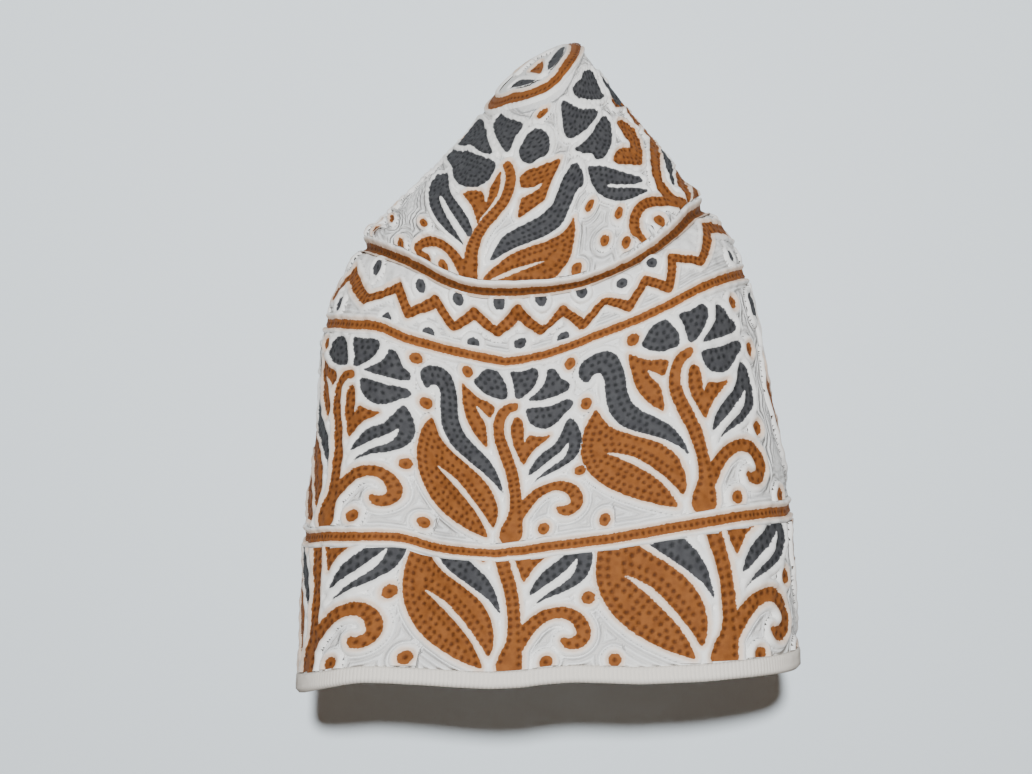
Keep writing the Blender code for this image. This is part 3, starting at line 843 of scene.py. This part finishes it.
for tier, seen in seen_figures.items():
    chart, count = (crown_figure, CROWN_FIGURES) if tier == "crown_scroll" else (wall_figure, WALL_FIGURES)
    last = count - 1 if count - 1 in seen else count
    turn_first = seen[1][2]
    turn_last = seen[count - 1][2] % 1 if count - 1 in seen else seen[0][2] + 1
    step = (turn_last - turn_first) / (last - 1)
    back = np.linspace(turn_first + step + BACK_ROOM[tier][0], turn_last - step - BACK_ROOM[tier][1], last - 2)
    for k in range(count):
        placed = seen[k] if k in seen else (seen[0][0] * BACK_NARROWER[tier], seen[0][1], back[k - 2])
        shown = side_figure if tier == "crown_scroll" and k == 1 else chart
        figures.append((f"{tier}_{k + 1}", tier, shown, *placed))


# The echo quilting: rows of white stitches through the ground that follow the figures' outlines and the lines. The
# cloth is given each place's distance from them.
FAR_MM = 30.0
INSIDE_ECHO_MM = 12.0


def gap_from_figures(share, turn, skipped=None):
    """Millimetres from a place to the nearest filling of any figure but the skipped one, minus inside it."""
    nearest = np.full(share.shape, FAR_MM)
    for name, tier, chart, stretch, shift, at in figures:
        if name == skipped:
            continue
        x, y = chart["across"][0], chart["up"][:, 0]
        flat = (tier_mm(tier, share, turn, at) - shift) @ np.linalg.inv(stretch).T
        field = np.minimum(chart["orange"], chart["grey"])
        found = sample_grid(field, x[0], y[0], FIGURE_STEP, flat[..., 0], flat[..., 1], FAR_MM)
        if tier == "lower_scroll":
            found = np.where(share > LOWER_LINE_SHARE, FAR_MM, found)
        nearest = np.minimum(nearest, found)
    return nearest


def quilt(cloth, share, turn):
    """Gives the outer face of a piece of cloth its distance from the stitching, and the inner face a far one."""
    nearest = gap_from_figures(share, turn)
    for line in (LOWER_LINE_SHARE, UPPER_LINE_SHARE):
        nearest = np.minimum(nearest, np.abs(share - line) / WALL_SHARE_PER_MM - 1.5)
    echo = np.full(len(cloth.data.vertices), INSIDE_ECHO_MM, np.float32)
    echo[:share.size] = np.clip(nearest, 0, FAR_MM).ravel()
    cloth.data.attributes.new("echo", "FLOAT", "POINT").data.foreach_set("value", echo)


quilt(side_wall, wall_share[:len(outside_rows)], wall_turn[:len(outside_rows)])
quilt(crown, *cloth_tube(crown_up, [], CROWN_COLUMNS, np.zeros(CROWN_ROWS), [])[:2])


# The stitching is mercerised cotton thread, which has a very low sheen and a tone that goes from thread to thread.
# Each eyelet is a dark hole with the thread pulled round it. A thread is about 0.3 mm wide, too fine to show, so the
# edge of a filling is drawn ragged in steps of 1 mm, and its uneven tone in patches of 2.5 mm.
THREAD_ROUGHNESS = 0.72
CORD_WHITE, CORD_BY_ORANGE = "EEE9E3", "E3C8B2"
ORANGE_THREAD, ORANGE_DARKER, ORANGE_DEEP = "854F24", "75431D", "4E2910"
GREY_THREAD, GREY_DARKER, GREY_DEEP = "454445", "3A393B", "252526"
# Stitching close to the seam is darkened towards the seam colour: painted shade, for the shadow in the seam's groove
# under the crown's swell.
SEAM_SHADE, SEAM_SHADE_PART = "3A2414", 0.55
RAGGED_MM, UNEVEN_MM = 1.0, 2.5
RAGGED_REACH = 0.7


def eyelet_embroidery():
    """Cotton thread fillings pierced with eyelets, and the smooth white cord that edges them."""
    material, tree, shader = new_material("eyelet_embroidery_thread", THREAD_ROUGHNESS)
    place = node(tree, "ShaderNodeNewGeometry", {})["Position"]
    ragged = node(tree, "ShaderNodeTexNoise", {"Vector": place, "Scale": 1 / (RAGGED_MM * MM), "Detail": 2.0})["Fac"]
    wander = node(tree, "ShaderNodeMath", {"operation": "MULTIPLY_ADD"}, ragged, RAGGED_REACH, -RAGGED_REACH / 2)[0]
    edges = {}
    for layer in ("orange", "grey", "eyelet"):
        gap = node(tree, "ShaderNodeAttribute", {"attribute_name": layer})["Fac"]
        edges[layer] = node(tree, "ShaderNodeMath", {"operation": "ADD"}, gap, wander)[0]
    hole = node(tree, "ShaderNodeMapRange", SMOOTH, edges["eyelet"], 0.15, 0.95, 1.0, 0.0)[0]
    patches = node(tree, "ShaderNodeTexNoise", {"Vector": place, "Scale": 1 / (UNEVEN_MM * MM), "Detail": 3.0})["Fac"]
    uneven = node(tree, "ShaderNodeMapRange", SMOOTH, patches, 0.3, 0.75)[0]
    # The cord is tinted peach within about 1.7 mm of an orange filling.
    near_orange = node(tree, "ShaderNodeMapRange", SMOOTH, edges["orange"], 0.2, 1.7, 1.0, 0.0)[0]
    colour = node(tree, "ShaderNodeMix",
                  {"data_type": "RGBA", 0: near_orange, 6: linear(CORD_WHITE), 7: linear(CORD_BY_ORANGE)})[2]
    for layer, thread, darker, deepest in (("orange", ORANGE_THREAD, ORANGE_DARKER, ORANGE_DEEP),
                                           ("grey", GREY_THREAD, GREY_DARKER, GREY_DEEP)):
        tone = node(tree, "ShaderNodeMix", {"data_type": "RGBA", 0: uneven, 6: linear(thread), 7: linear(darker)})[2]
        tone = node(tree, "ShaderNodeMix", {"data_type": "RGBA", 0: hole, 6: tone, 7: linear(deepest)})[2]
        filled = node(tree, "ShaderNodeMapRange", SMOOTH, edges[layer], -0.12, 0.12, 1.0, 0.0)[0]
        colour = node(tree, "ShaderNodeMix", {"data_type": "RGBA", 0: filled, 6: colour, 7: tone})[2]
    # Painted shade by the seam: the thread is darkened where the seam's groove lies in shadow.
    painted_seam_shade = node(tree, "ShaderNodeAttribute", {"attribute_name": "painted_seam_shade"})["Fac"]
    shaded = node(tree, "ShaderNodeMath", {"operation": "MULTIPLY"}, painted_seam_shade, SEAM_SHADE_PART)[0]
    colour = node(tree, "ShaderNodeMix", {"data_type": "RGBA", 0: shaded, 6: colour, 7: linear(SEAM_SHADE)})[2]
    height = node(tree, "ShaderNodeMath", {"operation": "MULTIPLY_ADD"}, hole, -1.2, weave_height(tree, place))[0]
    bump = node(tree, "ShaderNodeBump", {"Strength": 0.6, "Distance": 0.2 * MM, "Height": height})["Normal"]
    tree.links.new(colour, shader.inputs["Base Color"])
    tree.links.new(bump, shader.inputs["Normal"])
    return material


embroidery_thread = eyelet_embroidery()


SKIRT_SLOPE = 0.8
# How far from the seam, in shares, the painted shade on the stitching reaches.
SEAM_SHADE_REACH = 0.011


def stitched_out(gap, eyelet):
    """How far the stitching stands out, at gap millimetres outside a filling and eyelet from an eyelet."""
    cord = CORD_HEIGHT * np.sqrt(np.clip(1 - ((gap - CORD_WIDTH / 2) / (CORD_WIDTH / 2)) ** 2, 0, 1))
    filling = FILLING_HEIGHT - EYELET_DEPTH * np.exp(-(eyelet / EYELET_RADIUS) ** 2)
    sunk = -np.clip(gap - CORD_WIDTH, 0, SKIRT) * SKIRT_SLOPE
    return WALL_OUT + np.where(gap < 0, filling, np.where(gap < CORD_WIDTH, cord, sunk))


def stitched_piece(name, share, turn, orange, grey, eyelet, keep, wraps, slot):
    """A piece of embroidery over part of a grid of places, dropping what lies off its fillings and cords."""
    gap = np.minimum(orange, grey)
    if wraps:
        share, turn, orange, grey, eyelet, keep, gap = (
            np.hstack([a, a[:, :1]]) for a in (share, turn, orange, grey, eyelet, keep, gap))
    rows, columns = gap.shape
    worn = (gap < CORD_WIDTH + SKIRT) & keep
    whole = worn[:-1, :-1] & worn[1:, :-1] & worn[:-1, 1:] & worn[1:, 1:]
    index = np.arange(rows * columns).reshape(rows, columns)
    if wraps:
        index[:, -1] = index[:, 0]
    corners = np.stack([index[:-1, :-1], index[:-1, 1:], index[1:, 1:], index[1:, :-1]], -1)[whole]
    used, faces = np.unique(corners, return_inverse=True)
    faces = faces.reshape(-1, 4)
    points = on_cloth(share, turn, stitched_out(gap, eyelet)).reshape(-1, 3)[used]
    a, b, c = (points[faces[:, n]] for n in (0, 1, 3))
    normal = np.cross(b - a, c - a)
    faced = (normal * (lattice_normals[
        np.clip((share.ravel()[used][faces[:, 0]] / LATTICE_STEP).astype(int), 0, len(lattice_shares) - 1),
        ((turn.ravel()[used][faces[:, 0]] % 1) * LATTICE_COLUMNS).astype(int) % LATTICE_COLUMNS])).sum(1)
    if faced.mean() < 0:
        faces = faces[:, ::-1]
    # The painted shade by the seam, strongest on the seam itself.
    painted_seam_shade = np.exp(-((share - SEAM_SHARE) / SEAM_SHADE_REACH) ** 2)
    layers = {"orange": orange, "grey": grey, "eyelet": eyelet, "painted_seam_shade": painted_seam_shade}
    layers = {name: values.ravel()[used] for name, values in layers.items()}
    return mesh_object(name, points, faces.tolist(), layers, embroidery_thread)


# A figure's cords end where a line, the tier's foot or another figure's filling takes over
LINE_HALF = {LOWER_LINE_SHARE: 1.5, UPPER_LINE_SHARE: 1.5, SEAM_SHARE: 1.5, MEDALLION_SHARE: 2.4}
CLEAR_OF_LINE = CORD_WIDTH * 0.8
wall_work, crown_work = [rim_hem], []
for name, tier, chart, stretch, shift, at in figures:
    across, up = np.moveaxis(np.stack([chart["across"], chart["up"]], -1) @ stretch.T + shift, -1, 0)
    foot, per_mm = TIERS[tier]
    share = foot + up * per_mm
    turn = at + across / round_mm(share)
    own = np.minimum(chart["orange"], chart["grey"])
    keep = (own <= gap_from_figures(share, turn, name) + 0.5) & (share > foot)
    for line, half in LINE_HALF.items():
        off = np.interp(share, lattice_shares, lattice_up) - np.interp(line, lattice_shares, lattice_up)
        keep &= np.abs(off) > half + CLEAR_OF_LINE
    if tier == "lower_scroll":
        keep &= share < LOWER_LINE_SHARE
    slot, work = ("crown_cotton", crown_work) if tier == "crown_scroll" else ("wall_cotton", wall_work)
    work.append(stitched_piece(name, share, turn, chart["orange"], chart["grey"], chart["eyelet"], keep, False, slot))


# The lines: bands of orange filling between two white cords, sewn right round the cap, with one row of eyelets.
# Two bound the wall's tiers, the seam line covers the join of wall and crown, and a ring edges the medallion.
LINE_EYELETS_MM = 1.9
LINE_STEP, LINE_STEP_ALONG = 0.42, 0.55
LINE_REACH, SEAM_REACH_BELOW, RING_REACH = 3.6, 2.3, 4.5


def line_piece(name, share_at, below, above, slot):
    """A line round the cap, from below millimetres under its middle to above over it."""
    length = float(round_mm(share_at))
    columns = int(length / LINE_STEP_ALONG)
    across = np.arange(-below, above + LINE_STEP / 2, LINE_STEP)
    turn = np.arange(columns) / columns + 0 * across[:, None]
    side = across[:, None] + 0 * turn
    along = turn * length
    spacing = length / round(length / LINE_EYELETS_MM)
    off = (along + spacing / 2) % spacing - spacing / 2
    eyelet = np.hypot(off, side)
    middle = np.interp(wandered(np.full(turn.shape, share_at), turn), lattice_shares, lattice_up)
    share = counted(np.interp(middle + side, lattice_up, lattice_shares), turn)
    orange = np.abs(side) - LINE_HALF[share_at]
    grey = np.full(orange.shape, 9.0)
    return stitched_piece(name, share, turn, orange, grey, eyelet, np.ones(orange.shape, bool), True, slot)


MEDALLION_RADIUS = float(round_mm(MEDALLION_SHARE)) / (2 * math.pi)
wall_work.append(line_piece("lower_line", LOWER_LINE_SHARE, LINE_REACH, LINE_REACH, "wall_cotton"))
wall_work.append(line_piece("upper_line", UPPER_LINE_SHARE, LINE_REACH, LINE_REACH, "wall_cotton"))
crown_work.append(line_piece("seam_line", SEAM_SHARE, SEAM_REACH_BELOW, LINE_REACH, "crown_cotton"))
crown_work.append(line_piece("medallion_ring", MEDALLION_SHARE, RING_REACH, RING_REACH, "crown_cotton"))


# The zigzag band: one orange zigzag between the upper line and the seam, with a grey dot in each of its angles.
# Its corners were read in the photo's pixels where it shows, and it runs on evenly round the back.
ZIGZAG_CORNERS = ((337, 291), (352, 272), (365, 298), (398, 287), (408, 312), (436, 301), (453, 325), (474, 313),
                  (497, 330), (518, 311), (541, 329), (563, 310), (583, 325), (604, 299), (630, 308), (645, 279),
                  (670, 288), (672, 257), (702, 260), (707, 227), (732, 231))
ZIGZAG_DOTS = ((377, 267), (420, 285), (458, 299), (499, 303), (541, 299), (582, 292), (622, 283), (652, 262),
               (338, 303), (385, 318), (428, 333), (473, 342), (520, 342), (732, 255), (563, 337))
ZIGZAG_BACK = 38
ZIGZAG_LOW_SHARE, ZIGZAG_HIGH_SHARE = 0.894, 0.962
ZIGZAG_HALF = 1.65
UPPER_DOT_SHARE, LOWER_DOT_SHARE = 0.972, 0.874
ZIGZAG_DOT_RADIUS = 2.0
ZIGZAG_BAND = (0.850, 0.993)
ZIGZAG_STEP = 0.48
ZIGZAG_EYELETS = 0.85


def zigzag_band():
    """The whole band on one grid that is cut open at the back and rolled out in millimetres."""
    middle = (ZIGZAG_BAND[0] + ZIGZAG_BAND[1]) / 2
    length = float(round_mm(middle))
    columns = int(length / ZIGZAG_STEP)
    turn = np.arange(columns) / columns
    shares = np.arange(*ZIGZAG_BAND, ZIGZAG_STEP * WALL_SHARE_PER_MM)
    along, up = np.meshgrid(turn * length, shares / WALL_SHARE_PER_MM)
    places = np.stack([along.ravel(), up.ravel()], 1)
    seen_share, seen_turn = cloth_place(ZIGZAG_CORNERS)
    seen_share = np.clip(seen_share, ZIGZAG_LOW_SHARE - 0.02, ZIGZAG_HIGH_SHARE + 0.012)
    back = np.linspace(seen_turn[-1], seen_turn[0] + 1, ZIGZAG_BACK + 2)[1:-1]
    back_share = np.where(np.arange(ZIGZAG_BACK) % 2 == 0, ZIGZAG_HIGH_SHARE, ZIGZAG_LOW_SHARE)
    corner_turn = np.concatenate([seen_turn, back])
    corner_share = np.concatenate([seen_share, back_share])
    line = np.stack([corner_turn * length, corner_share / WALL_SHARE_PER_MM], 1)
    dot_share, dot_turn = cloth_place(ZIGZAG_DOTS)
    dot_share = np.concatenate([dot_share, np.where(back_share > middle, LOWER_DOT_SHARE, UPPER_DOT_SHARE)])
    dots = np.stack([np.concatenate([dot_turn, back]) * length, dot_share / WALL_SHARE_PER_MM], 1)
    line = np.vstack([line + (n * length, 0) for n in (-1, 0, 1)])
    dots = np.vstack([dots + (n * length, 0) for n in (-1, 0, 1)])
    row, side = beside(line, 0, EYELET_STEP)
    eyelets = np.vstack([dots, row + side * ZIGZAG_EYELETS, row - side * ZIGZAG_EYELETS])
    found = (distance_to_line(places, line, np.full(len(line), ZIGZAG_HALF)),
             distance_to_nearest(places, dots) - ZIGZAG_DOT_RADIUS, distance_to_nearest(places, eyelets))
    turn, share = np.meshgrid(turn, shares)
    layers = [values.reshape(turn.shape) for values in found]
    return stitched_piece("zigzag_band", share, turn, *layers, np.ones(turn.shape, bool), True, "wall_cotton")


wall_work.append(zigzag_band())


# The medallion's own flower: small grey and orange petals inside the ring. The three that show were read in the
# photo's pixels, and the other side of the flower, which is turned away, repeats all but one.
MEDALLION_GREY = (((507, 88), (511, 84), (516, 80), (522, 77.5), (533, 78), (535, 79.5), (528, 83), (515, 86.5)),
                  ((546, 70), (547, 62), (551, 56), (556, 50), (563, 44), (565, 46), (563, 53), (558, 60), (552, 66)))
MEDALLION_ORANGE = (((527, 71), (533, 66), (538, 61), (542, 59), (543, 64), (541, 70), (540, 73), (535, 71.5)),)


FLOWER_REACH_PART, POLE_HOLE_PART = 0.9, 0.05


def medallion_flower():
    """The flower on a flat grid that is laid on the medallion."""
    reach = MEDALLION_RADIUS * FLOWER_REACH_PART
    x = np.arange(-reach, reach, FIGURE_STEP)
    across, up = np.meshgrid(x, x)
    places = np.stack([across.ravel(), up.ravel()], 1)
    gaps, centres = {"orange": [], "grey": []}, []
    for colour, outlines in (("orange", MEDALLION_ORANGE), ("grey", MEDALLION_GREY)):
        for outline in outlines:
            share, turn = cloth_place(outline)
            radius = (CENTRE_SHARE - share) * MEDALLION_RADIUS
            line = np.stack([radius * np.sin(2 * np.pi * turn), radius * np.cos(2 * np.pi * turn)], 1)
            for side in (1, -1) if outline is not MEDALLION_GREY[1] else (1,):
                gaps[colour].append(outside_outline(places, rounded(line * side, True)))
                centres += [line.mean(0) * side, (line[:2].mean(0) + line.mean(0)) / 2 * side]
    orange, grey = (np.min(gaps[k], axis=0).reshape(across.shape) for k in ("orange", "grey"))
    near = distance_to_nearest(places, centres).reshape(across.shape)
    radius = np.hypot(across, up)
    share = np.clip(CENTRE_SHARE - radius / MEDALLION_RADIUS, MEDALLION_SHARE, POLE_SHARE)
    turn = np.arctan2(across, up) / (2 * math.pi)
    keep = radius < MEDALLION_RADIUS - LINE_HALF[MEDALLION_SHARE] - CLEAR_OF_LINE
    keep &= radius > POLE_HOLE_PART * MEDALLION_RADIUS
    return stitched_piece("medallion_flower", share, turn, orange, grey, near, keep, False, "crown_cotton")


crown_work.append(medallion_flower())


# The floor is a plain pale card. The key light is a small lamp a metre up, towards the top of the picture, so that
# the rim's shadow falls just below the cap. A dim warm light from all round fills the shade. The camera looks straight
# down on the cap's front, as the photo's did.
FLOOR_SIZE = 6.0
FLOOR_COLOUR, KEY_COLOUR, STUDIO_COLOUR = "EEF4F7", "F3FAFF", "EECFB4"
STUDIO_STRENGTH = 0.11
KEY_PLACE = (-0.02, 0.17, 1.0)
KEY_SIZE = 0.05
KEY_WATTS = 16.5

floor_mesh = bpy.data.meshes.new("floor")
half = FLOOR_SIZE / 2
floor_mesh.from_pydata([(-half, -half, 0), (half, -half, 0), (half, half, 0), (-half, half, 0)], [], [(0, 1, 2, 3)])
floor = bpy.data.objects.new("floor", floor_mesh)
bpy.context.scene.collection.objects.link(floor)
floor_card, _, floor_shader = new_material("pale_card", 0.95)
floor_shader.inputs["Base Color"].default_value = linear(FLOOR_COLOUR)
floor_mesh.materials.append(floor_card)

lamp = bpy.data.lights.new("key", "AREA")
lamp.shape = "DISK"
lamp.size = KEY_SIZE
lamp.energy = KEY_WATTS
lamp.color = linear(KEY_COLOUR)[:3]
key = bpy.data.objects.new("key", lamp)
key.location = KEY_PLACE
key.rotation_mode = "QUATERNION"
key.rotation_quaternion = Vector(KEY_PLACE).to_track_quat("Z", "Y")
bpy.context.scene.collection.objects.link(key)

world = bpy.data.worlds.new("studio")
world.use_nodes = True
world.node_tree.nodes["Background"].inputs["Color"].default_value = linear(STUDIO_COLOUR)
world.node_tree.nodes["Background"].inputs["Strength"].default_value = STUDIO_STRENGTH
bpy.context.scene.world = world

camera_data = bpy.data.cameras.new("camera")
camera_data.sensor_width = 36.0
camera_data.lens = CAMERA_PIXELS / PHOTO_WIDTH * camera_data.sensor_width
camera_data.clip_start, camera_data.clip_end = 0.01, 20
camera = bpy.data.objects.new("camera", camera_data)
camera.location = Vector(camera_place)
bpy.context.scene.collection.objects.link(camera)
bpy.context.scene.camera = camera
